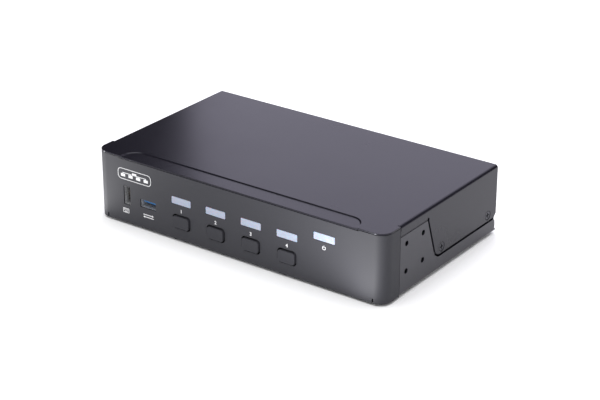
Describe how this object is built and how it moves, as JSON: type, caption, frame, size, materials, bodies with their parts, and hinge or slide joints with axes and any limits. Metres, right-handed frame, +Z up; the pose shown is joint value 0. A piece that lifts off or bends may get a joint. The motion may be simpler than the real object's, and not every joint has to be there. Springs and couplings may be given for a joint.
{
  "type": "kvm switch",
  "caption": "Desktop keyboard, video and mouse switch in a dark metal case with a plastic front, numbered push buttons, status windows and front USB sockets.",
  "frame": {"origin": "on the surface that the feet stand on, below the middle of the object's box", "axes": "+X to the right along the front, +Y from the front to the rear sockets, +Z up"},
  "size_m": [0.218, 0.1284, 0.0465],
  "materials": {
    "cover_steel": "fine satin powder coat, near black with a cool cast",
    "tray_steel": "fine satin powder coat, near black with a cool cast",
    "bezel_plastic": "satin moulded plastic with a soft sheen",
    "button_plastic": "satin moulded plastic",
    "foot_rubber": "matt black rubber",
    "cover_screw_steel": "blackened steel",
    "board_screw_steel": "bright zinc",
    "pillar_brass": "turned brass",
    "window_plastic": "frosted pale plastic",
    "socket_steel": "nickel-plated pressed steel",
    "blue_insert": "satin blue insulator",
    "black_insert": "satin black insulator",
    "circuit_board": "green solder mask",
    "heat_sink_aluminium": "extruded, clear finish",
    "ribbon_plastic": "flat pale film"
  },
  "bodies": {
    "case": {"top_cover": "cover_steel", "base_tray": "tray_steel", "rear_panel": "tray_steel", "front_bezel": "bezel_plastic", "foot_front_left": "foot_rubber", "foot_rear_left": "foot_rubber", "foot_front_right": "foot_rubber", "foot_rear_right": "foot_rubber", "cover_screw_left_1": "cover_screw_steel", "cover_screw_left_2": "cover_screw_steel", "cover_screw_right_1": "cover_screw_steel", "cover_screw_right_2": "cover_screw_steel", "tact_switch_1": "black_insert", "tact_switch_2": "black_insert", "tact_switch_3": "black_insert", "tact_switch_4": "black_insert", "light_window_1": "window_plastic", "light_window_2": "window_plastic", "light_window_3": "window_plastic", "light_window_4": "window_plastic", "light_window_power": "window_plastic", "front_usb_shell_keyboard": "socket_steel", "front_usb_tongue_keyboard": "black_insert", "front_usb_shell_data": "socket_steel", "front_usb_tongue_data": "blue_insert", "front_board": "circuit_board", "host_video_socket_1": "socket_steel", "host_usb_socket_1": "socket_steel", "host_video_socket_2": "socket_steel", "host_usb_socket_2": "socket_steel", "host_video_socket_3": "socket_steel", "host_usb_socket_3": "socket_steel", "host_video_socket_4": "socket_steel", "host_usb_socket_4": "socket_steel", "console_video_socket": "socket_steel", "console_usb_socket": "socket_steel", "microphone_jack": "black_insert", "headphone_jack": "black_insert", "power_inlet": "black_insert", "main_board": "circuit_board", "video_board": "circuit_board", "heat_sink": "heat_sink_aluminium", "board_stack_header": "black_insert", "ribbon_link": "ribbon_plastic", "main_board_screw_left": "board_screw_steel", "board_pillar_left": "pillar_brass", "video_board_screw_left": "board_screw_steel", "main_board_screw_right": "board_screw_steel", "board_pillar_right": "pillar_brass", "video_board_screw_right": "board_screw_steel"},
    "button_1": {"select_button_1": "button_plastic", "button_plunger_1": "black_insert"},
    "button_2": {"select_button_2": "button_plastic", "button_plunger_2": "black_insert"},
    "button_3": {"select_button_3": "button_plastic", "button_plunger_3": "black_insert"},
    "button_4": {"select_button_4": "button_plastic", "button_plunger_4": "black_insert"}
  },
  "joints": [
    {"name": "button_1_press", "type": "slide", "parent": "case", "child": "button_1", "axis": [0, 1, 0], "range_m": [0, 0.0005], "stiffness_N_per_m": 400, "springref_m": -0.0015},
    {"name": "button_2_press", "type": "slide", "parent": "case", "child": "button_2", "axis": [0, 1, 0], "range_m": [0, 0.0005], "stiffness_N_per_m": 400, "springref_m": -0.0015},
    {"name": "button_3_press", "type": "slide", "parent": "case", "child": "button_3", "axis": [0, 1, 0], "range_m": [0, 0.0005], "stiffness_N_per_m": 400, "springref_m": -0.0015},
    {"name": "button_4_press", "type": "slide", "parent": "case", "child": "button_4", "axis": [0, 1, 0], "range_m": [0, 0.0005], "stiffness_N_per_m": 400, "springref_m": -0.0015}
  ]
}
